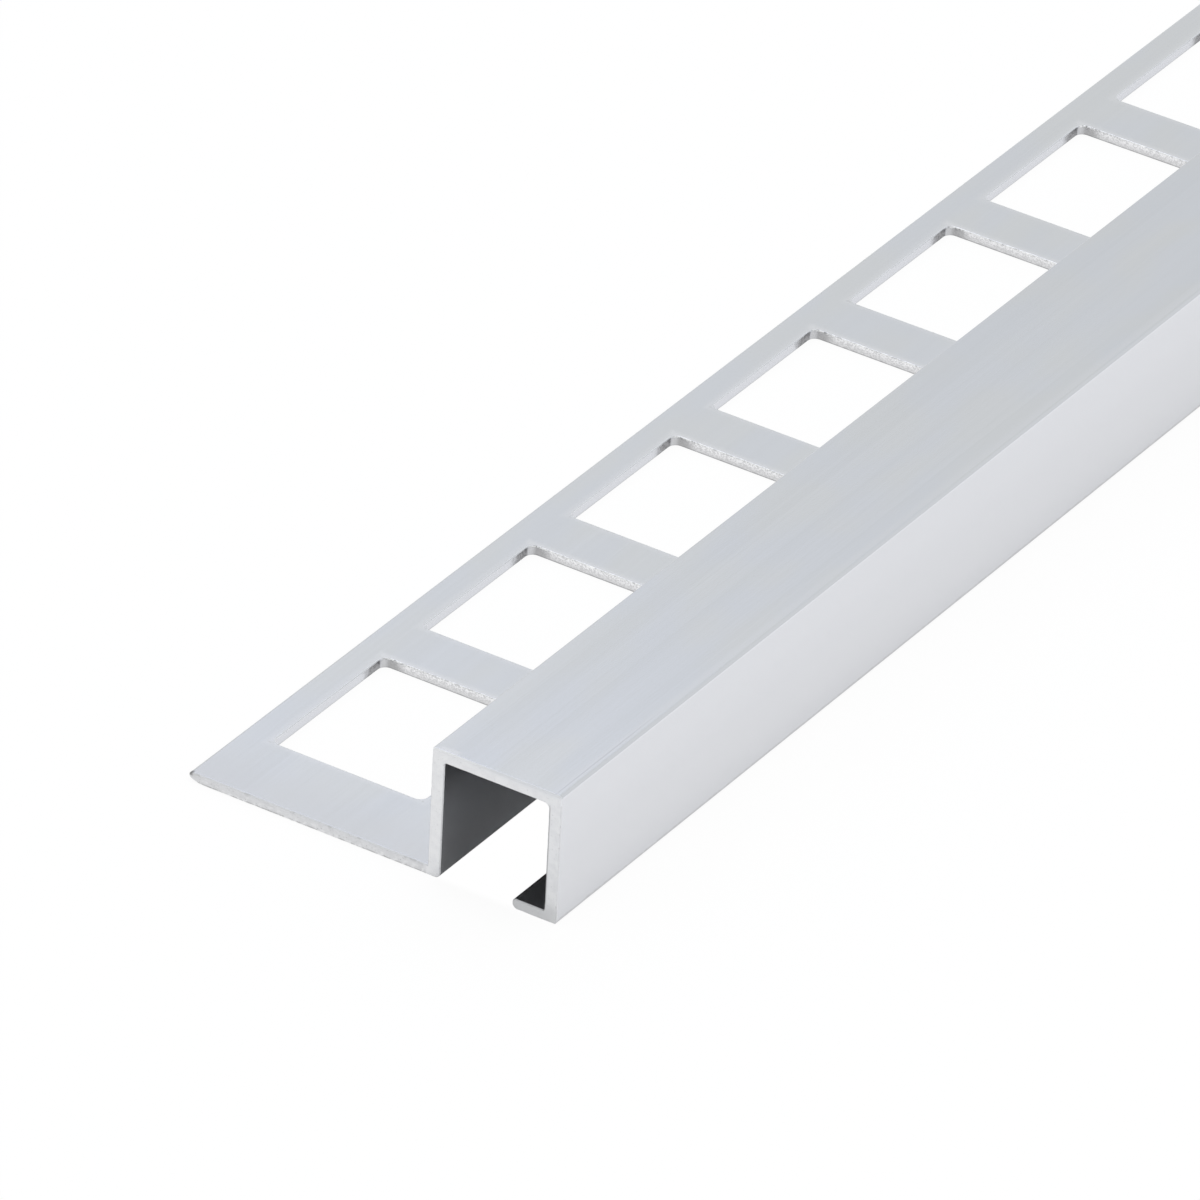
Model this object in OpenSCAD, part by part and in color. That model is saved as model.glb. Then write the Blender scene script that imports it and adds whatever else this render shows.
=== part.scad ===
// Square edge profile for tiles: one length of extruded aluminium with an open
// square front, a return lip below it, and a flat leg punched for adhesive.
// Millimetres. +Z is up from the plane that the leg is bedded in, +Y runs along
// the length and +X from the leg to the front. The origin is the middle of the
// length and of the overall width, on the underside.

/* [Length] */
// Length of the piece
profile_length = 1000; // [200:10:3000]

/* [Square front] */
// Height from the bedding plane to the finished top, as the tile stands
front_height = 11; // [8:0.5:20]
// Width of the square front over both of its walls
front_width = 11.2; // [9:0.1:20]
// Thickness of the top wall
top_wall = 1.0; // [0.8:0.05:2]
// Thickness of the back wall, which the tile butts against
back_wall = 1.1; // [0.8:0.05:2]
// Thickness of the front wall
front_wall = 1.05; // [0.8:0.05:2]

/* [Return lip] */
// How far the lip reaches in from the inner side of the front wall
lip_reach = 2.75; // [1.5:0.05:4]
// Thickness of the lip
lip_thickness = 0.85; // [0.6:0.05:1.5]

/* [Anchoring leg] */
// How far the leg reaches from the back wall to its free edge
leg_reach = 21.1; // [19:0.1:40]
// Thickness of the leg
leg_thickness = 0.8; // [0.6:0.05:1.5]
// Radius of the nose along the free edge
nose_radius = 0.28; // [0.1:0.02:0.3]
// Length over which the leg's underside sweeps up to the nose
nose_sweep = 1.3; // [0.8:0.1:2.5]

/* [Punched holes] */
// Size of a hole across the leg
hole_across = 13.4; // [8:0.1:15]
// Size of a hole along the leg
hole_along = 14.8; // [8:0.1:17]
// Radius in the corners of a hole
hole_corner = 0.7; // [0.3:0.1:3]
// Distance from one hole to the next, centre to centre
hole_pitch = 20; // [19:0.5:40]
// Metal left between the holes and the free edge
edge_margin = 2.6; // [2.6:0.1:4]
// Metal left between the end shown first and the first hole
first_margin = 7.0; // [2:0.5:20]
// Least metal left between the last hole and the far end
last_margin = 5.2; // [2:0.2:20]

/* [Corners of the section] */
// Rounding of the front edge along the top
top_edge_round = 0.3; // [0.1:0.05:0.8]
// Rounding of the front edge along the bottom
bottom_edge_round = 0.2; // [0.1:0.05:0.6]
// Rounding of the lip's edge on the side of the channel
lip_top_round = 0.3; // [0.1:0.05:0.5]
// Rounding of the lip's edge below
lip_bottom_round = 0.45; // [0.1:0.05:0.5]
// Rounding of the top edge over the tile
tile_edge_round = 0.12; // [0.05:0.01:0.5]
// Fillet inside the square, under the front edge of the top
inner_fillet = 0.5; // [0.1:0.05:1.5]
// Fillet in the square's other inner corners
small_fillet = 0.15; // [0.05:0.05:0.5]
// Rounding of the back wall's foot, on the side of the channel
foot_round = 0.5; // [0.1:0.05:0.75]

/* [Hidden] */
$fn = 64;

// How far a cutter runs past the faces that it cuts
overcut = 1;

overall_width = leg_reach + front_width;
back_x = overall_width / 2 - front_width;
front_x = overall_width / 2;
edge_x = -overall_width / 2;

channel_back_x = back_x + back_wall;
channel_front_x = front_x - front_wall;
channel_top = front_height - top_wall;
lip_tip_x = channel_front_x - lip_reach;
lip_top_r = min(lip_top_round, lip_thickness * 0.45);
lip_bottom_r = min(lip_bottom_round, lip_thickness * 0.5);
leg_root_x = channel_back_x - foot_round;

hole_run = profile_length - first_margin - last_margin - hole_along;
hole_count = floor(hole_run / hole_pitch) + 1;

// The nose is an arc tangent to the top of the leg and to the long arc that
// sweeps up from the underside: from these follow the long arc's radius and
// the point where the two arcs meet.
nose_r = min(nose_radius, leg_thickness * 0.45);
nose_x = edge_x + nose_r;
nose_z = leg_thickness - nose_r;
sweep_x = edge_x + nose_sweep;
sweep_run = sweep_x - nose_x;
sweep_r = (sweep_run ^ 2 / (leg_thickness - 2 * nose_r) + leg_thickness) / 2;
meet_x = nose_x - nose_r * sweep_run / (sweep_r - nose_r);

// The bit of a square corner that lies outside its rounding. The corner is at
// point, and the material or the hollow lies from it towards side. It is cut
// from an outside corner and left standing in an inside one.
module corner_bit(point, side, r) {
    translate(point)
        scale_sign(side)
            difference() {
                square(r);
                translate([r, r]) circle(r);
            }
}

// Turns a shape drawn towards +X and +Y to the quadrant that side points to
module scale_sign(side) {
    mirror([side[0] < 0 ? 1 : 0, 0])
        mirror([0, side[1] < 0 ? 1 : 0])
            children();
}

// The leg, flat from its root in the back wall to where its underside sweeps up
module leg_section() {
    translate([sweep_x, 0]) square([leg_root_x - sweep_x, leg_thickness]);
    intersection() {
        union() {
            translate([nose_x, 0]) square([sweep_x - nose_x, leg_thickness]);
            translate([meet_x, 0]) square([sweep_x - meet_x, nose_z]);
        }
        translate([sweep_x, sweep_r]) circle(sweep_r);
    }
    translate([nose_x, nose_z]) circle(nose_r);
}

// The hollow of the square, without the slot below it
module channel_section() {
    hollow = [channel_front_x - channel_back_x, channel_top - lip_thickness];
    difference() {
        translate([channel_back_x, lip_thickness]) square(hollow);
        corner_bit([channel_front_x, channel_top], [-1, -1], inner_fillet);
        corner_bit([channel_back_x, channel_top], [1, -1], small_fillet);
        corner_bit([channel_front_x, lip_thickness], [-1, 1], small_fillet);
    }
}

// The slot between the back wall and the lip, with the rounded foot of the
// wall and the two roundings of the lip's edge
module slot_section() {
    translate([channel_back_x, -overcut])
        square([lip_tip_x - channel_back_x, lip_thickness + 2 * overcut]);
    corner_bit([channel_back_x, 0], [-1, 1], foot_round);
    corner_bit([lip_tip_x, 0], [1, 1], lip_bottom_r);
    corner_bit([lip_tip_x, lip_thickness], [1, -1], lip_top_r);
}

// The square front with its walls and lip
module front_section() {
    difference() {
        translate([back_x, 0]) square([front_width, front_height]);
        channel_section();
        slot_section();
        corner_bit([front_x, front_height], [-1, -1], top_edge_round);
        corner_bit([front_x, 0], [-1, 1], bottom_edge_round);
        corner_bit([back_x, front_height], [1, -1], tile_edge_round);
    }
}

// One punched hole, as the cutter that goes through the leg
module punch() {
    hole = [hole_across, hole_along];
    translate([0, 0, -overcut])
        linear_extrude(leg_thickness + 2 * overcut)
            difference() {
                translate(-hole / 2) square(hole);
                for (sx = [-1, 1], sy = [-1, 1])
                    corner_bit([sx * hole[0], sy * hole[1]] / 2, [-sx, -sy], hole_corner);
            }
}

module square_profile() {
    color([0.74, 0.75, 0.78])
        difference() {
            rotate([90, 0, 0])
                linear_extrude(profile_length, center = true) {
                    leg_section();
                    front_section();
                }
            for (i = [0 : hole_count - 1])
                translate([
                    edge_x + edge_margin + hole_across / 2,
                    first_margin + hole_along / 2 + i * hole_pitch - profile_length / 2,
                    0
                ])
                    punch();
        }
}

square_profile();
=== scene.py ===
import math

import bmesh
import bpy
from mathutils import Matrix, Vector, noise


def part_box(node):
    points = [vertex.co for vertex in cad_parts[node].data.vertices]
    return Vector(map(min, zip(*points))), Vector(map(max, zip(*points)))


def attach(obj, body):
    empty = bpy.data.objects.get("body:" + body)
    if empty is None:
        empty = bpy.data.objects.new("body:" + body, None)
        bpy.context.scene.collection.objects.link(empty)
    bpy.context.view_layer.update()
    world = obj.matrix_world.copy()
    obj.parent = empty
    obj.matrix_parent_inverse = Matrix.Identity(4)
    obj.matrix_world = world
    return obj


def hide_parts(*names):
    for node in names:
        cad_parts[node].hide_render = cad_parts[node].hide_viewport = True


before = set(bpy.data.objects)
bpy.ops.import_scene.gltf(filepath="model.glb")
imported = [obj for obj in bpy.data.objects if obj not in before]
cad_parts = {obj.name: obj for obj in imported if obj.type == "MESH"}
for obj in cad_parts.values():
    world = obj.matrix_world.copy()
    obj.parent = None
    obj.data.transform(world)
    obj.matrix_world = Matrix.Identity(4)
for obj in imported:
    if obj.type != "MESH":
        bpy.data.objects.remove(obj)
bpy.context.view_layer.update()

# The profile
# One length of extruded aluminium edge trim: an open square front with a return lip, and a
# flat leg with a row of holes. It is anodised in satin silver and then punched and sawn, so
# the cuts show bare metal.

mm = 0.001
hair = 0.001 * mm
low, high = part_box("square_profile")
near_y = low.y
far_y = high.y
edge_x = low.x
front_x = high.x
bed_z = low.z
top_z = high.z

front_width = 11.2 * mm
top_wall = 1.0 * mm
back_wall = 1.1 * mm
front_wall = 1.05 * mm
lip_reach = 2.75 * mm
lip_thickness = 0.85 * mm
leg_thickness = 0.8 * mm

back_x = front_x - front_width
channel_back_x = back_x + back_wall
channel_front_x = front_x - front_wall
channel_top = top_z - top_wall
lip_tip_x = channel_front_x - lip_reach

top_edge_round = 0.3 * mm
bottom_edge_round = 0.2 * mm
lip_top_round = 0.3 * mm
lip_bottom_round = 0.425 * mm
tile_edge_round = 0.12 * mm
inner_fillet = 0.5 * mm
small_fillet = 0.15 * mm
foot_round = 0.5 * mm
arc_steps = 8

# The nose along the leg's free edge is a small arc, and a long arc carries the
# underside up to it. The other corners are drawn sharp and then rounded.
nose_radius = 0.28 * mm
nose_sweep = 1.3 * mm
nose_x = edge_x + nose_radius
nose_z = leg_thickness - nose_radius
sweep_x = edge_x + nose_sweep
sweep_run = sweep_x - nose_x
sweep_radius = (sweep_run ** 2 / (leg_thickness - 2 * nose_radius) + leg_thickness) / 2
sweep_turn = math.atan2(sweep_run, sweep_radius - nose_z)
nose_turn = math.pi - sweep_turn


def verts_of(result):
    """The vertices among what an operator returned."""
    return [v for v in result if isinstance(v, bmesh.types.BMVert)]


profile = bmesh.new()
nose_top = profile.verts.new((nose_x, near_y, leg_thickness))
last_corner = nose_top
for centre_x, centre_z, turn in [
    (nose_x, nose_z, nose_turn),
    (sweep_x, sweep_radius, sweep_turn),
]:
    swept = bmesh.ops.spin(
        profile, geom=[last_corner], cent=(centre_x, near_y, centre_z),
        axis=(0, 1, 0), angle=-turn, steps=arc_steps,
    )
    last_corner = verts_of(swept["geom_last"])[0]
rounded = []
for x, z, radius in [
    (channel_back_x, bed_z, foot_round),
    (channel_back_x, channel_top, small_fillet),
    (channel_front_x, channel_top, inner_fillet),
    (channel_front_x, lip_thickness, small_fillet),
    (lip_tip_x, lip_thickness, lip_top_round),
    (lip_tip_x, bed_z, lip_bottom_round),
    (front_x, bed_z, bottom_edge_round),
    (front_x, top_z, top_edge_round),
    (back_x, top_z, tile_edge_round),
    (back_x, leg_thickness, 0),
]:
    corner = profile.verts.new((x, near_y, z))
    profile.edges.new((last_corner, corner))
    last_corner = corner
    if radius:
        rounded.append((corner, radius))
profile.edges.new((last_corner, nose_top))
bmesh.ops.edgeloop_fill(profile, edges=profile.edges)
for corner, radius in rounded:
    bmesh.ops.bevel(
        profile, geom=[corner], offset=radius, segments=arc_steps,
        profile=0.5, affect="VERTICES", material=-1,
    )
bmesh.ops.remove_doubles(profile, verts=profile.verts, dist=hair)
drawn = bmesh.ops.extrude_face_region(profile, geom=profile.faces)
bmesh.ops.translate(profile, verts=verts_of(drawn["geom"]), vec=(0, far_y - near_y, 0))
bmesh.ops.recalc_face_normals(profile, faces=profile.faces)

# Both ends are sawn. The saw leaves a worn, slightly ragged arris round the cut,
# so a short collar there is divided finely enough to hold it.
arris = 0.08 * mm
arris_rag = 0.04 * mm
rag_grain = 0.35 * mm
fine_rag_grain = rag_grain / 3
collar_step = 0.3 * mm
collars = [0.3 * mm, 0.8 * mm, 1.6 * mm]


def edges_at(plane_y):
    """The edges that lie across the length at plane_y."""
    return [e for e in profile.edges if all(abs(v.co.y - plane_y) < hair for v in e.verts)]


for end_y in (near_y, far_y):
    inwards = math.copysign(1, -end_y)
    for depth in collars:
        bmesh.ops.bisect_plane(
            profile, geom=profile.verts[:] + profile.edges[:] + profile.faces[:],
            plane_co=(0, end_y + inwards * depth, 0), plane_no=(0, 1, 0),
        )
    by_cuts = {}
    for depth in [0, *collars]:
        for edge in edges_at(end_y + inwards * depth):
            cuts = int(edge.calc_length() / collar_step)
            by_cuts.setdefault(cuts, []).append(edge)
    for cuts in sorted(by_cuts):
        if cuts:
            bmesh.ops.subdivide_edges(profile, edges=by_cuts[cuts], cuts=cuts, use_only_quads=True)
    bmesh.ops.bevel(
        profile, geom=edges_at(end_y), offset=arris, segments=1,
        profile=0.5, affect="EDGES", material=-1,
    )
    for v in profile.verts:
        if hair < abs(v.co.y - end_y) < arris + hair:
            rag = noise.noise(v.co / rag_grain) + 0.5 * noise.noise(v.co / fine_rag_grain)
            v.co.y += inwards * arris_rag * max(rag, 0)

profile_mesh = bpy.data.meshes.new("square_edge_profile")
profile.to_mesh(profile_mesh)
profile.free()
square_edge_profile = bpy.data.objects.new("square_edge_profile", profile_mesh)
bpy.context.scene.collection.objects.link(square_edge_profile)

# The row of punches, each a block with rounded upright edges, cuts the leg.
hole_across = 13.4 * mm
hole_along = 14.8 * mm
half_across = hole_across / 2
half_along = hole_along / 2
hole_corner = 0.7 * mm
hole_pitch = 20 * mm
edge_margin = 2.6 * mm
first_margin = 7.0 * mm
last_margin = 5.2 * mm
hole_x = edge_x + edge_margin + half_across
first_hole_y = near_y + first_margin + half_along
last_hole_y = far_y - last_margin - half_along
hole_count = 1 + int((last_hole_y - first_hole_y + hair) / hole_pitch)
row_end = first_hole_y + (hole_count - 1) * hole_pitch + half_along
punch_height = 6 * leg_thickness

punch = bmesh.new()
for hole in range(hole_count):
    block = bmesh.ops.create_cube(punch, size=1)["verts"]
    bmesh.ops.scale(punch, verts=block, vec=(hole_across, hole_along, punch_height))
    bmesh.ops.translate(punch, verts=block, vec=(hole_x, first_hole_y + hole * hole_pitch, 0))
upright_edges = [
    e for e in punch.edges
    if abs(e.verts[0].co.z - e.verts[1].co.z) > leg_thickness
]
bmesh.ops.bevel(
    punch, geom=upright_edges, offset=hole_corner, segments=arc_steps,
    profile=0.5, affect="EDGES", material=-1,
)
punch_mesh = bpy.data.meshes.new("punch")
punch.to_mesh(punch_mesh)
punch.free()
punch_row = bpy.data.objects.new("punch", punch_mesh)
bpy.context.scene.collection.objects.link(punch_row)
punching = square_edge_profile.modifiers.new("punching", "BOOLEAN")
punching.object = punch_row
punching.operation = "DIFFERENCE"
punching.solver = "EXACT"
evaluated = square_edge_profile.evaluated_get(bpy.context.evaluated_depsgraph_get())
square_edge_profile.data = bpy.data.meshes.new_from_object(evaluated)
square_edge_profile.modifiers.clear()
bpy.data.objects.remove(punch_row)

# The punch draws the top of each hole's edge down with it, which rounds the rim.
# The finishes are numbered in the order in which the piece gets them further down.
rim_round = 0.09 * mm
rim_steps = 3
satin, sawn, punched = range(3)
most_tilt = 0.1
least_end_facing = 0.3
flat = 0.9999
crease = math.radians(40)
profile = bmesh.new()
profile.from_mesh(square_edge_profile.data)


def in_hole_wall(face):
    """True for the upright faces that the punches left."""
    upright = abs(face.normal.z) < most_tilt
    low_down = all(v.co.z < leg_thickness + hair for v in face.verts)
    within = all(abs(v.co.x - hole_x) < half_across + hair for v in face.verts)
    return upright and low_down and within and abs(face.calc_center_median().y) < far_y - last_margin


for face in profile.faces:
    if in_hole_wall(face):
        face.material_index = punched
    elif abs(face.normal.y) > least_end_facing:
        face.material_index = sawn
    else:
        face.material_index = satin
rim = [
    e for e in profile.edges
    if all(abs(v.co.z - leg_thickness) < hair for v in e.verts)
    and any(f.material_index == punched for f in e.link_faces)
]
bmesh.ops.bevel(
    profile, geom=rim, offset=rim_round, segments=rim_steps,
    profile=0.5, affect="EDGES", material=punched,
)
profile.normal_update()
for face in profile.faces:
    face.smooth = max(abs(part) for part in face.normal) < flat
for edge in profile.edges:
    edge.smooth = edge.calc_face_angle(0) < crease
profile.to_mesh(square_edge_profile.data)
profile.free()


class Paint:
    """One socket in a material. A sum written on it adds the Math nodes that work it out."""

    def __init__(self, tree, socket=None):
        self.tree = tree
        self.socket = socket

    def feed(self, made, values):
        """Links or sets the sockets of a node."""
        for name, value in values.items():
            if isinstance(value, Paint):
                self.tree.links.new(value.socket, made.inputs[name])
            else:
                made.inputs[name].default_value = value

    def node(self, kind, settings=None, values=None, out=0):
        """The output of a new node: its settings are set first, then its sockets."""
        made = self.tree.nodes.new(kind)
        for name, setting in (settings or {}).items():
            setattr(made, name, setting)
        self.feed(made, values or {})
        return Paint(self.tree, made.outputs[out])

    def maths(self, operation, *values):
        """What a new Math node makes of the values."""
        return self.node("ShaderNodeMath", {"operation": operation}, dict(enumerate(values)))

    def __add__(self, other):
        return self.maths("ADD", self, other)

    def __sub__(self, other):
        return self.maths("SUBTRACT", self, other)

    def __rsub__(self, other):
        return self.maths("SUBTRACT", other, self)

    def __mul__(self, other):
        return self.maths("MULTIPLY", self, other)

    def __truediv__(self, other):
        return self.maths("DIVIDE", self, other)

    def __mod__(self, other):
        return self.maths("FLOORED_MODULO", self, other)

    def __abs__(self):
        return self.maths("ABSOLUTE", self)

    __radd__ = __add__
    __rmul__ = __mul__

    def parts(self):
        """This place's X, Y and Z."""
        split = self.node("ShaderNodeSeparateXYZ", None, {"Vector": self})
        return [Paint(self.tree, part) for part in split.socket.node.outputs]

    def step(self, start, end):
        """Goes smoothly from 0 where this is start to 1 where it is end."""
        return self.node(
            "ShaderNodeMapRange", {"interpolation_type": "SMOOTHSTEP"},
            {"Value": self, "From Min": start, "From Max": end},
        )

    def noise(self, grain, detail=2.0, roughness=0.5):
        """Noise about grain wide along X, Y and Z, from 0 to 1, where this is a place."""
        size = self.node("ShaderNodeMapping", None, {
            "Vector": self, "Scale": tuple(1 / g for g in grain),
        })
        return self.node("ShaderNodeTexNoise", None, {
            "Vector": size, "Scale": 1.0, "Detail": detail, "Roughness": roughness,
        })

    def ragged(self, noise_here, width):
        """This distance, made ragged over width by noise."""
        return self + width * (noise_here - 0.5)

    def mixed(self, colour, other):
        """The first colour where this is 0 and the other where it is 1."""
        return self.node("ShaderNodeMix", {"data_type": "RGBA"}, {0: self, 6: colour, 7: other}, 2)


def metal(name, shade):
    """A new metal, whose look and height shade works out from a place on the piece."""
    material = bpy.data.materials.new(name)
    material.use_nodes = True
    tree = material.node_tree
    place = Paint(tree).node("ShaderNodeTexCoord", None, None, "Object")
    colour, metallic, roughness, height, depth = shade(place)
    bump = place.node("ShaderNodeBump", None, {
        "Strength": 1.0, "Distance": depth, "Height": height,
    })
    place.feed(tree.nodes["Principled BSDF"], {
        "Base Color": colour, "Metallic": metallic, "Roughness": roughness, "Normal": bump,
    })
    return material


def from_hole(x, y):
    """The place as seen from the middle of its hole: across the leg, and along it."""
    start = y - (first_hole_y - hole_pitch / 2)
    return x - hole_x, start % hole_pitch - hole_pitch / 2


white = (1.0, 1.0, 1.0, 1)
# Dark for the painted shade at the leg's tip.
tip_shade_dark = (0.22, 0.22, 0.22, 1)


def silver(place, tone, on_front):
    """Silver in two close tones, a little bluer in places, and even on the front."""
    plain_light = (0.753, 0.765, 0.777, 1)
    plain_dark = (0.734, 0.747, 0.761, 1)
    blue_light = (0.743, 0.762, 0.797, 1)
    blue_dark = (0.725, 0.744, 0.779, 1)
    front_light = (0.758, 0.764, 0.789, 1)
    front_dark = (0.741, 0.747, 0.774, 1)
    blue = place.noise((4 * mm, 9 * mm, 4 * mm), 1.0).step(0.35, 0.65)
    light = blue.mixed(plain_light, blue_light)
    dark = blue.mixed(plain_dark, blue_dark)
    return on_front.mixed(tone.mixed(dark, light), tone.mixed(front_dark, front_light))


def in_channel(x, z):
    """1 on the faces that line the channel."""
    foot_x = channel_back_x - foot_round
    return (
        x.step(foot_x - 0.05 * mm, foot_x + 0.05 * mm)
        * x.step(channel_front_x + 0.3 * mm, channel_front_x + 0.2 * mm)
        * z.step(channel_top + 0.3 * mm, channel_top + 0.2 * mm)
    )


def channel_painted_shade(x, z, to_end):
    """Painted shade on the faces inside the channel: dark low down and in the upper corner beside an
    end, with a lighter painted silver further in.
    """
    shaded_foot_dark = (0.35, 0.355, 0.37, 1)
    shaded_foot_grey = (0.48, 0.485, 0.50, 1)
    upper_silver = (0.70, 0.71, 0.74, 1)
    lit_deep_silver = (0.95, 0.955, 0.97, 1)
    shaded_corner_grey = (0.42, 0.43, 0.45, 1)
    behind_end = to_end.step(0, 5 * mm) * x.step(channel_back_x + 2 * mm, channel_back_x + mm)
    foot = behind_end.mixed(shaded_foot_dark, shaded_foot_grey)
    colour = z.step(0.5 * mm, 6 * mm).mixed(foot, upper_silver)
    colour = to_end.step(2 * mm, 14 * mm).mixed(colour, lit_deep_silver)
    corner = z.step(6.5 * mm, 9.5 * mm) * to_end.step(5 * mm, mm)
    return (0.85 * corner).mixed(colour, shaded_corner_grey)


def top_wear_and_highlights(colour, place, x, from_near, drawn_lines):
    """A chip beside the near cut, painted highlights along the front edge, and a faint darker line
    that the die draws beside them.
    """
    chip_silver = (0.83, 0.835, 0.85, 1)
    edge_silver = (0.81, 0.825, 0.86, 1)
    band_highlight_silver = (0.79, 0.80, 0.825, 1)
    line_grey = (0.69, 0.70, 0.735, 1)
    chips = place.noise((0.5 * mm, 0.4 * mm, 0.5 * mm), 1.0)
    from_back = x - back_x
    chipped = (
        from_back.step(0.3 * mm, 0.8 * mm)
        * from_back.step(2.4 * mm, 1.8 * mm)
        * from_near.ragged(chips, 0.4 * mm).step(0.8 * mm, 0.5 * mm)
    )
    colour = (0.8 * chipped).mixed(colour, chip_silver)
    from_front = front_x - x
    # Painted highlight on the front edge's rounding, and a lighter painted band just inside it.
    edge = from_front.step(top_edge_round, 0.5 * top_edge_round)
    colour = (0.75 * edge).mixed(colour, edge_silver)
    highlight_band = from_front.step(0.25 * mm, 0.45 * mm) * from_front.step(1.1 * mm, 0.6 * mm)
    colour = (0.5 * highlight_band).mixed(colour, band_highlight_silver)
    line = from_front.step(0.50 * mm, 0.55 * mm) * from_front.step(0.66 * mm, 0.60 * mm)
    faint = drawn_lines.step(0.2, 0.5) * from_near.step(16 * mm, 8 * mm)
    return (line * faint).mixed(colour, line_grey)


def hole_wear(colour, place, x, y, z):
    """The punch stretches the metal next to a hole, which is paler, with a painted highlight that
    makes it paler still on the far side, and leaves small burrs there.
    """
    stretched_and_highlight_silver = (0.87, 0.875, 0.89, 1)
    burr_grey = (0.60, 0.60, 0.61, 1)
    on_leg = (
        z.step(leg_thickness + 0.2 * mm, leg_thickness + 0.1 * mm)
        * x.step(back_x, back_x - hair)
        * (y - near_y).step(first_margin - 1.5 * mm, first_margin - mm)
        * (y - row_end).step(1.5 * mm, mm)
    )
    across, along = from_hole(x, y)
    beside = abs(across) - half_across
    beyond = abs(along) - half_along
    off_rim = beside.maths("MAXIMUM", beside, beyond)
    fleck = place.noise((0.22 * mm, 0.22 * mm, 0.22 * mm), 2.0)
    far_side = along.step(half_along - 0.3 * mm, half_along)
    stretched_and_highlight = on_leg * off_rim.ragged(fleck, 0.3 * mm).step(0.75 * mm, 0.05 * mm)
    # Stretched metal is paler all round; the extra on the far side is a painted highlight.
    colour = ((0.4 + 0.35 * far_side) * stretched_and_highlight).mixed(colour, stretched_and_highlight_silver)
    near_side = along.step(-half_along + 0.1 * mm, -half_along)
    burred = on_leg * off_rim.step(0.3 * mm, 0.1 * mm) * fleck.step(0.52, 0.62) * near_side
    return (0.4 * burred).mixed(colour, burr_grey)


def satin_anodised(place):
    """Etched to an even satin with the die's faint lines and worn beside the cuts, with painted
    shade in the channel, along the front's foot and at the leg's tip, and painted highlights along
    the top's front edge and beside the holes.
    """
    pale_silver = (0.95, 0.97, 0.99, 1)
    handled_grey = (0.715, 0.72, 0.735, 1)
    rubbed_silver = (0.78, 0.785, 0.80, 1)
    rubbed_grey = (0.70, 0.71, 0.73, 1)
    foot_shade_grey = (0.60, 0.60, 0.615, 1)
    x, y, z = place.parts()
    from_near = y - near_y
    to_end = far_y - abs(y)
    leg_side = x.step(back_x + hair, back_x - hair)
    on_front = x.step(front_x - 0.1 * mm, front_x - 0.02 * mm)
    on_top = z.step(top_z - top_edge_round, top_z - 0.5 * top_edge_round)
    inside = in_channel(x, z)

    drawn_lines = place.noise((0.12 * mm, 60 * mm, 0.12 * mm), 3.0)
    bands = place.noise((2.5 * mm, 220 * mm, 2.5 * mm))
    etched = place.noise((0.09 * mm, 0.12 * mm, 0.09 * mm), 2.0)
    tone = (0.45 * drawn_lines + 0.35 * bands + 0.2 * etched).step(0.35, 0.65)
    colour = silver(place, tone, on_front)
    lighter = 0.1 * leg_side * from_near.step(-20 * mm, 30 * mm)
    colour = lighter.mixed(colour, pale_silver)
    # Painted shade inside the channel, in place of the satin silver.
    colour = inside.mixed(colour, channel_painted_shade(x, z, to_end))

    handled = 0.6 * leg_side * to_end.step(6 * mm, mm)
    colour = handled.mixed(colour, handled_grey)
    rubbed = (1 - to_end.ragged(etched, 0.2 * mm).step(0, 0.35 * mm)) * (1 - inside)
    colour = (0.6 * rubbed).mixed(colour, leg_side.mixed(rubbed_silver, rubbed_grey))
    colour = on_top.mixed(colour, top_wear_and_highlights(colour, place, x, from_near, drawn_lines))
    # Painted shade along the foot of the front face: a ragged dark line where the rounded bottom
    # edge meets the floor.
    foot_shade_noise = place.noise((0.25 * mm, 0.5 * mm, 0.15 * mm), 2.0)
    front_foot_shade = on_front * z.ragged(foot_shade_noise, 0.35 * mm).step(0.42 * mm, 0.2 * mm)
    colour = (0.8 * front_foot_shade).mixed(colour, foot_shade_grey)
    colour = hole_wear(colour, place, x, y, z)
    # Painted shade on the tip of the leg's free edge by the near end.
    tip_shade = x.step(edge_x + 0.5 * mm, edge_x + 0.25 * mm) * from_near.step(0.4 * mm, 0.15 * mm)
    colour = (0.85 * tip_shade).mixed(colour, tip_shade_dark)

    roughness = 0.18 + 0.05 * drawn_lines + 0.04 * bands + 0.2 * inside + 0.1 * rubbed
    height = 0.7 * drawn_lines + 0.3 * etched
    line_depth = 0.0006 * mm
    return colour, 1.0, roughness, height, line_depth


def sawn_square(colour, x, z, wander, on_arris):
    """The square's cut: a dark line along its top, a worn edge and painted shade along the inner
    edge.
    """
    line_grey = (0.71, 0.722, 0.745, 1)
    chip_silver = (0.98, 0.985, 0.99, 1)
    edge_silver = (0.87, 0.88, 0.90, 1)
    inner_shade_grey = (0.36, 0.36, 0.37, 1)
    past_chip = x.step(back_x + 2 * mm, back_x + 6 * mm)
    line = 1 - (top_z - z).ragged(wander, 0.15 * mm).step(0, 0.5 * mm)
    colour = (line * (0.2 + 0.8 * past_chip)).mixed(colour, line_grey)
    on_edge = on_arris * z.step(channel_top + 0.1 * mm, channel_top + 0.3 * mm)
    colour = on_edge.mixed(colour, past_chip.mixed(chip_silver, edge_silver))
    # Painted shade on the arris along the front wall's inner edge.
    inner_edge_shade = (
        x.step(channel_front_x + 0.18 * mm, channel_front_x + 0.1 * mm)
        * x.step(channel_front_x - inner_fillet, channel_front_x - 0.02 * mm)
        * z.step(lip_thickness, lip_thickness + mm)
        * z.step(channel_top + 0.1 * mm, channel_top - inner_fillet)
    )
    return (0.8 * inner_edge_shade).mixed(colour, inner_shade_grey)


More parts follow.
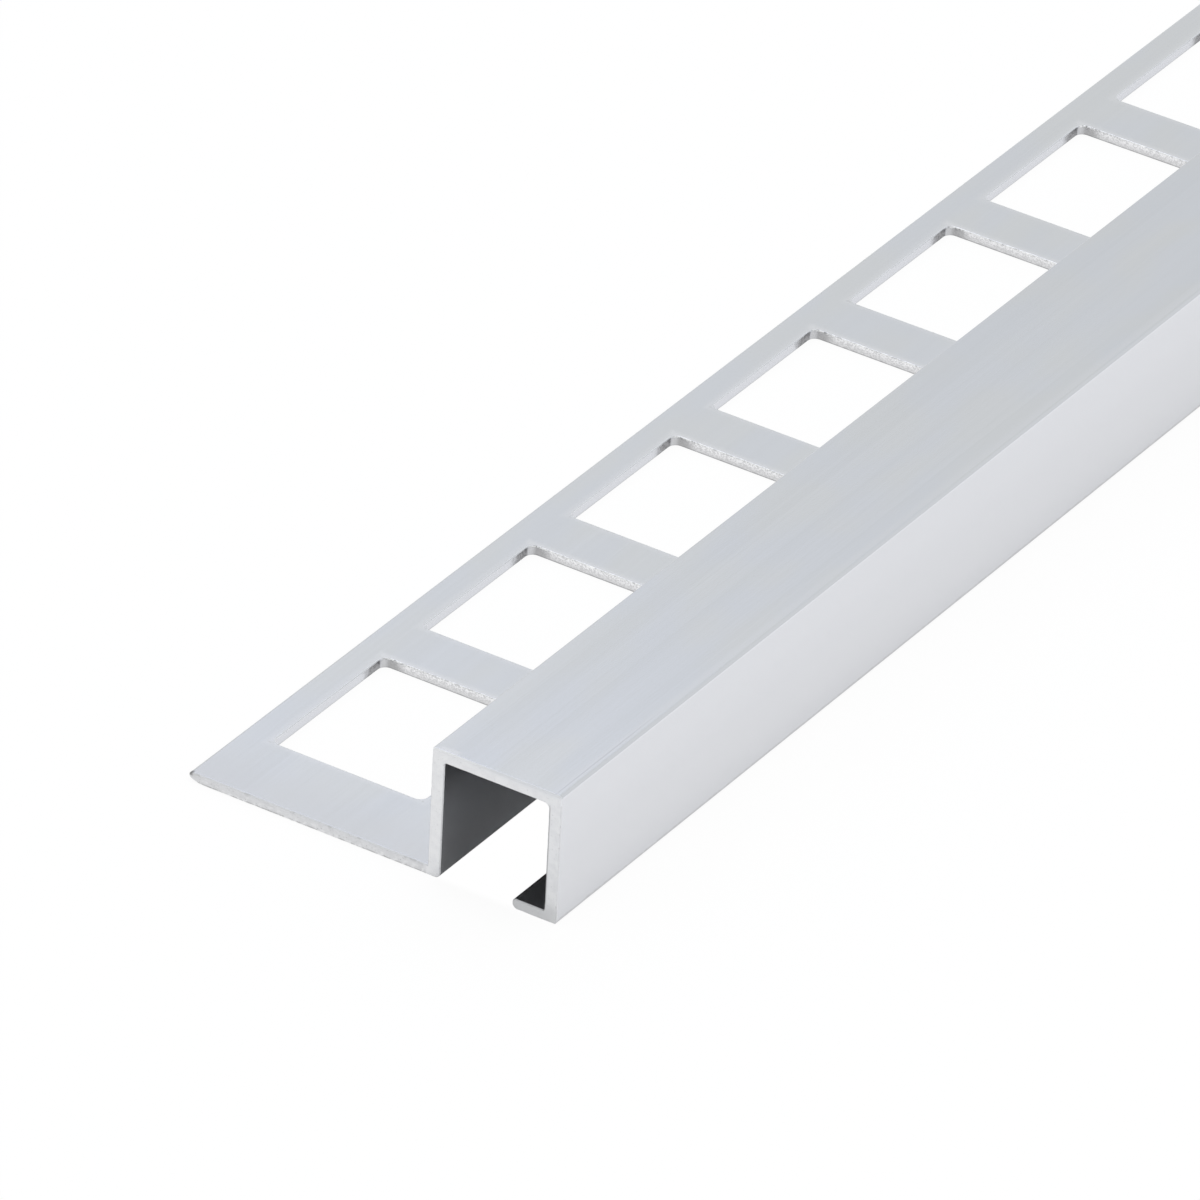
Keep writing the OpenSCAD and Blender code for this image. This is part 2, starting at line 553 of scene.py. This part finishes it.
def sawn_leg(colour, place, x, z, on_arris):
    """The leg's cut: a light edge, smudges above, burrs below and painted shade at the tip."""
    edge_silver = (0.86, 0.865, 0.88, 1)
    smudge_grey = (0.50, 0.50, 0.50, 1)
    burr_grey = (0.40, 0.40, 0.40, 1)
    bright_silver = (0.88, 0.88, 0.89, 1)
    colour = on_arris.mixed(colour, edge_silver)
    smudge = place.noise((0.7 * mm, 0.5 * mm, 0.5 * mm), 1.0).step(0.55, 0.68)
    smudged = smudge * z.step(0.5 * leg_thickness, 0.8 * leg_thickness)
    colour = (0.35 * smudged).mixed(colour, smudge_grey)
    burr = place.noise((0.4 * mm, 0.4 * mm, 0.3 * mm), 2.0)
    burred = z.step(0.22 * mm, 0.1 * mm) * burr.step(0.38, 0.6)
    colour = (0.7 * burred).mixed(colour, burr_grey)
    bright = z.step(0.6 * mm, 0.4 * mm) * burr.step(0.5, 0.36)
    colour = (0.4 * bright).mixed(colour, bright_silver)
    # Painted shade at the top of the tip.
    on_tip = x.step(edge_x + 0.45 * mm, edge_x + 0.2 * mm)
    tip_shade = on_tip * z.step(0.55 * leg_thickness, 0.8 * leg_thickness)
    return (0.85 * tip_shade).mixed(colour, tip_shade_dark)


def sawn_metal(place):
    """Bare metal with the shallow arcs of the saw's teeth, and specks where chips tore."""
    saw_centre = (-60 * mm, 0, -150 * mm)
    tooth_mark = 0.045 * mm
    wall_light = (0.80, 0.805, 0.815, 1)
    wall_dark = (0.745, 0.75, 0.765, 1)
    leg_light = (0.72, 0.725, 0.74, 1)
    leg_dark = (0.66, 0.665, 0.68, 1)
    lip_grey = (0.64, 0.645, 0.655, 1)
    speck_grey = (0.40, 0.40, 0.41, 1)
    x, y, z = place.parts()
    on_leg = x.step(back_x, back_x - 0.2 * mm)
    on_lip = x.step(channel_back_x, channel_front_x) * z.step(lip_thickness + mm, lip_thickness)
    on_arris = (far_y - abs(y)).step(0.002 * mm, 0.01 * mm)

    to_saw = place.node(
        "ShaderNodeVectorMath", {"operation": "DISTANCE"}, {0: place, 1: saw_centre}, "Value",
    )
    wander = place.noise((0.6 * mm, 0.6 * mm, 0.6 * mm), 3.0)
    tooth = to_saw / tooth_mark + 3.0 * wander
    arcs = 0.5 + 0.5 * tooth.maths("SINE", tooth)
    specks = place.noise((0.16 * mm, 0.16 * mm, 0.16 * mm), 2.0).step(0.62, 0.72)
    tone = (0.1 * arcs + wander).step(0.3, 0.75)
    colour = tone.mixed(wall_dark, wall_light)
    colour = on_leg.mixed(colour, tone.mixed(leg_dark, leg_light))
    colour = (0.8 * on_lip).mixed(colour, lip_grey)
    colour = (specks * (0.35 + 0.4 * on_leg)).mixed(colour, speck_grey)
    colour = sawn_square(colour, x, z, wander, on_arris)
    colour = on_leg.mixed(colour, sawn_leg(colour, place, x, z, on_arris))

    roughness = 0.36 + 0.1 * wander + 0.12 * specks + 0.2 * on_arris
    height = 0.35 * arcs + 0.4 * wander - 0.6 * specks
    saw_depth = 0.006 * mm
    return colour, 1.0, roughness, height, saw_depth


def hole_walls(upright, wander, torn, on_far):
    """Smooth at the sides and torn at the far side, both darker at the foot."""
    smooth_light = (0.762, 0.775, 0.812, 1)
    smooth_dark = (0.735, 0.748, 0.785, 1)
    high_light = (0.97, 0.97, 0.98, 1)
    high_dark = (0.69, 0.69, 0.70, 1)
    low_light = (0.76, 0.76, 0.77, 1)
    low_dark = (0.64, 0.64, 0.65, 1)
    far_foot_grey = (0.40, 0.40, 0.41, 1)
    side_foot_grey = (0.50, 0.50, 0.51, 1)
    fine = torn.step(0.42, 0.58)
    low_side = fine.mixed(low_dark, low_light)
    high_side = fine.mixed(high_dark, high_light)
    torn_side = upright.step(0.2, 0.9).mixed(low_side, high_side)
    colour = on_far.mixed(fine.mixed(smooth_dark, smooth_light), torn_side)
    far_foot = on_far * (1 - (upright + 0.15 * wander).step(0.08, 0.26))
    colour = far_foot.mixed(colour, far_foot_grey)
    side_foot = (1 - on_far) * upright.step(0.16, 0.04)
    return (0.5 * side_foot).mixed(colour, side_foot_grey)


def hole_corner_shade(colour, across, along, upright, wander, torn):
    """A streaked painted shadow on the side wall beside the far corner, and painted shade on the
    corner itself.
    """
    shadow_streak_dark = (0.14, 0.14, 0.145, 1)
    shadow_streak_grey = (0.34, 0.34, 0.35, 1)
    corner_shade_grey = (0.62, 0.625, 0.64, 1)
    to_corner = (half_along - hole_corner - along).ragged(wander, -1.4 * mm)
    shadow = (
        to_corner.step(2.3 * mm, 0.7 * mm)
        * along.step(half_along - 0.5 * hole_corner, half_along - 0.8 * hole_corner)
        * across.step(0, -half_across / 2)
        * upright.ragged(torn, 0.3).step(1.0, 0.8)
    )
    by_corner = to_corner.step(1.2 * mm, 0)
    shadow_streaks = (0.75 * torn + 0.25 * wander + 0.08 * by_corner).step(0.44, 0.60)
    colour = (0.9 * shadow).mixed(colour, shadow_streaks.mixed(shadow_streak_dark, shadow_streak_grey))
    # Painted shade on the rounded far corner.
    corner_shade = (
        along.step(half_along - 0.75 * hole_corner, half_along - 0.5 * hole_corner)
        * across.step(-half_across + hole_corner, -half_across + 0.4 * hole_corner)
    )
    return (0.8 * corner_shade).mixed(colour, corner_shade_grey)


def punched_metal(place):
    """Torn away from the punch, with the same marks in each hole: painted shade and a painted dark
    reflection by the far corner, and painted highlights along the ragged rim and in glints.
    """
    dark_reflection_grey = (0.30, 0.30, 0.305, 1)
    side_rim_highlight_silver = (0.90, 0.912, 0.94, 1)
    x, y, z = place.parts()
    upright = z / leg_thickness
    across, along = from_hole(x, y)
    on_far = along.step(half_along - 0.6 * hole_corner, half_along - 0.3 * hole_corner)
    wander = place.noise((0.5 * mm, 0.5 * mm, 0.5 * mm), 2.0)
    torn = place.noise((0.16 * mm, 0.16 * mm, 0.12 * mm), 2.0, 0.6)
    colour = hole_walls(upright, wander, torn, on_far)
    colour = hole_corner_shade(colour, across, along, upright, wander, torn)

    # Painted dark reflection on the far wall beside the corner, where it mirrors the shaded side
    # wall.
    from_side = across + half_across
    dark_reflection = (
        from_side.step(0.3 * hole_corner, 0.8 * hole_corner)
        * from_side.step(hole_corner + 1.5 * mm, hole_corner + 0.3 * mm)
        * on_far
    )
    colour = (0.6 * dark_reflection).mixed(colour, dark_reflection_grey)
    # Painted highlights: white along the ragged top of the far wall, and paler silver along the top
    # of the side walls.
    rim_highlight = upright.step(0.80, 0.92) * on_far * (0.6 * torn + 0.4 * wander).step(0.43, 0.53)
    colour = rim_highlight.mixed(colour, white)
    side_rim_highlight = upright.step(0.87, 0.90) * (1 - on_far)
    colour = side_rim_highlight.mixed(colour, side_rim_highlight_silver)
    # Painted glints: sparse white specks near the far rim, made less metallic so the lamp lights
    # them.
    glint_specks = place.noise((0.3 * mm, 0.3 * mm, 0.3 * mm), 1.0).step(0.63, 0.70)
    glint = glint_specks * on_far * upright.step(0.72, 0.85) * (1 - dark_reflection)
    colour = glint.mixed(colour, white)

    roughness = 0.3 + 0.2 * torn
    metallic = 1 - 0.9 * glint
    height = torn * (0.12 + 0.88 * on_far) * upright.step(0.9, 0.8)
    tear_depth = 0.02 * mm
    return colour, metallic, roughness, height, tear_depth


for name, shade in [
    ("satin_anodised", satin_anodised),
    ("sawn_metal", sawn_metal),
    ("punched_metal", punched_metal),
]:
    square_edge_profile.data.materials.append(metal(name, shade))

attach(square_edge_profile, "root")
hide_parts("square_profile")

# The floor
# A plain white studio floor, which the piece lies on. It looks white to the camera, and the metal
# mirrors it as dimmer paper. Under the open channel the camera sees it painted full white while the
# metal sees painted grey shade, and under the leg the metal sees a painted glow.

floor_gap = 0.02 * mm
floor_half = 20
floor_mesh = bmesh.new()
bmesh.ops.create_grid(floor_mesh, size=floor_half)
bmesh.ops.translate(floor_mesh, verts=floor_mesh.verts, vec=(0, 0, bed_z - floor_gap))
floor_data = bpy.data.meshes.new("floor")
floor_mesh.to_mesh(floor_data)
floor_mesh.free()
floor = bpy.data.objects.new("floor", floor_data)
bpy.context.scene.collection.objects.link(floor)

white_share = 0.92
mirrored_share = 0.2
mirrored_by_leg = 0.8
paper_white = (0.95, 0.95, 0.95, 1)
paper_shade_grey = (0.82, 0.82, 0.82, 1)
white_floor = bpy.data.materials.new("white_floor")
white_floor.use_nodes = True
floor_tree = white_floor.node_tree
floor_tree.nodes.clear()
camera_rays = Paint(floor_tree).node("ShaderNodeLightPath", None, None, "Is Camera Ray")
glossy_rays = camera_rays.node("ShaderNodeLightPath", None, None, "Is Glossy Ray")
across, along, _ = camera_rays.node("ShaderNodeTexCoord", None, None, "Object").parts()
# Painted light and shade by place: under the channel, full white to the camera and grey paper
# without glow to the metal; under the leg, more glow to the metal.
under_channel = (
    across.step(channel_back_x - mm, channel_back_x)
    * across.step(channel_front_x + mm, channel_front_x)
    * along.step(near_y - 0.5 * mm, near_y + 0.5 * mm)
    * along.step(far_y + 0.5 * mm, far_y - 0.5 * mm)
)
under_leg = across.step(back_x, back_x - 0.2 * mm)
seen = (white_share + (1 - white_share) * under_channel) * camera_rays
mirrored = (mirrored_share + (mirrored_by_leg - mirrored_share) * under_leg) * glossy_rays
paper = seen.node("ShaderNodeBsdfDiffuse", None, {
    "Color": under_channel.mixed(paper_white, paper_shade_grey),
})
glow = seen.node("ShaderNodeEmission", None, {"Color": white, "Strength": 1.0})
blend = seen.node("ShaderNodeMixShader", None, {
    0: seen + mirrored * (1 - under_channel), 1: paper, 2: glow,
})
blend.feed(floor_tree.nodes.new("ShaderNodeOutputMaterial"), {"Surface": blend})
floor_data.materials.append(white_floor)

# The light
# A soft, even studio: a pale surround, one broad lamp overhead, and a smaller bluish one
# that the metal mirrors.

pale_grey = (0.745, 0.755, 0.76, 1)
studio = bpy.data.worlds.new("studio")
studio.use_nodes = True
bpy.context.scene.world = studio
to_camera = Paint(studio.node_tree).node("ShaderNodeLightPath", None, None, "Is Camera Ray")
to_camera.feed(studio.node_tree.nodes["Background"], {
    "Color": to_camera.mixed(pale_grey, white), "Strength": 1.0,
})


def pointed(place, aim):
    """Stands at place and points at aim."""
    turn = (Vector(aim) - Vector(place)).to_track_quat("-Z", "Y")
    return Matrix.Translation(place) @ turn.to_matrix().to_4x4()


lamp_aim = (0, -0.45, 0)
for name, place, size, watts, colour, in_mirrors in [
    ("overhead", (0.15, -0.55, 0.9), 0.7, 2.6, (1, 0.99, 0.98), False),
    ("skylight", (-0.4, -0.093, 0.704), 0.5, 0.6, (0.72, 0.78, 1), True),
]:
    lamp_data = bpy.data.lights.new(name, "AREA")
    lamp_data.shape = "DISK"
    lamp_data.size = size
    lamp_data.energy = watts
    lamp_data.color = colour
    lamp = bpy.data.objects.new(name, lamp_data)
    lamp.visible_glossy = in_mirrors
    lamp.matrix_world = pointed(place, lamp_aim)
    bpy.context.scene.collection.objects.link(lamp)

# The camera
# It looks down with a long lens from in front of the near end, on the square side.

camera_place = Vector((446.67, -1196.78, 536.84)) * mm
camera_aim = Vector((-5.63, -460.68, 0)) * mm
camera_roll = math.radians(2.902)
camera_data = bpy.data.cameras.new("camera")
camera_data.sensor_width = 36
camera_data.lens = 405.2
camera = bpy.data.objects.new("camera", camera_data)
camera.matrix_world = pointed(camera_place, camera_aim) @ Matrix.Rotation(camera_roll, 4, "Z")
bpy.context.scene.collection.objects.link(camera)
bpy.context.scene.camera = camera
bpy.context.scene.view_settings.view_transform = "Standard"
